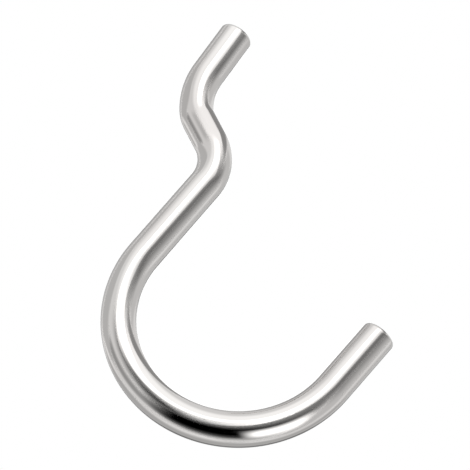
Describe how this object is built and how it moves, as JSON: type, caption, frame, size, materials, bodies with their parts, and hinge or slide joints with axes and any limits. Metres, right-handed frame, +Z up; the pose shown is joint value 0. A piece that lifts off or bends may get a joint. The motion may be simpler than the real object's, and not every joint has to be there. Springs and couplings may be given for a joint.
{
  "type": "pegboard hook",
  "caption": "Short J-shaped hook of bright plated round wire, with a double bend at the top that passes through a perforated board and a straight tab that stays behind it.",
  "frame": {"origin": "on the board's front face, at the top of the straight shank, where the lower edge of the hole bears, in the plane of the wire", "axes": "+X out of the board towards the user, +Z up along the shank, Y across the plane of the wire"},
  "size_m": [0.032, 0.0032, 0.036],
  "materials": {
    "plated_wire": "drawn steel wire with a bright nickel plate"
  },
  "bodies": {
    "root": {"hook_wire": "plated_wire"}
  },
  "joints": []
}
